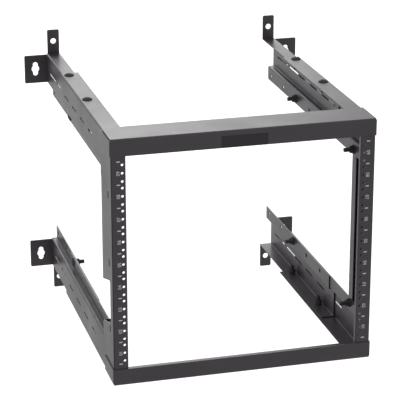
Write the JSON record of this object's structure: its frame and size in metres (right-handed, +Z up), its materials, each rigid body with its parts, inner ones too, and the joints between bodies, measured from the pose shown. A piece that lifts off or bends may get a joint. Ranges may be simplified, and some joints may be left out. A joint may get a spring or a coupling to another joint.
{
  "type": "open frame wall mount rack",
  "caption": "Open frame wall rack of folded steel: a front frame with drilled equipment rails, carried by bolted arms with tabs against a wall.",
  "frame": {"origin": "on the wall side of the upper left side tab, between its bend and its keyhole", "axes": "+Y into the wall, +Z up, +X to the right seen from the front"},
  "size_m": [0.598, 0.6344, 0.581],
  "materials": {
    "powder_coat": "fine textured black powder coat",
    "black_hardware": "satin black"
  },
  "bodies": {
    "root": {"left_rail": "powder_coat", "right_rail": "powder_coat", "top_bar": "powder_coat", "bottom_bar": "powder_coat", "left_side_panel": "powder_coat", "right_side_panel": "powder_coat", "upper_left_wall_arm": "powder_coat", "upper_right_wall_arm": "powder_coat", "lower_left_wall_arm": "powder_coat", "lower_right_wall_arm": "powder_coat", "upper_left_lip_bolts": "black_hardware", "upper_left_lip_nuts": "black_hardware", "upper_left_flange_bolts": "black_hardware", "upper_left_flange_nuts": "black_hardware", "upper_right_lip_bolts": "black_hardware", "upper_right_lip_nuts": "black_hardware", "upper_right_flange_bolts": "black_hardware", "upper_right_flange_nuts": "black_hardware", "lower_left_lip_bolts": "black_hardware", "lower_left_lip_nuts": "black_hardware", "lower_left_flange_bolts": "black_hardware", "lower_left_flange_nuts": "black_hardware", "lower_right_lip_bolts": "black_hardware", "lower_right_lip_nuts": "black_hardware", "lower_right_flange_bolts": "black_hardware", "lower_right_flange_nuts": "black_hardware"}
  },
  "joints": []
}
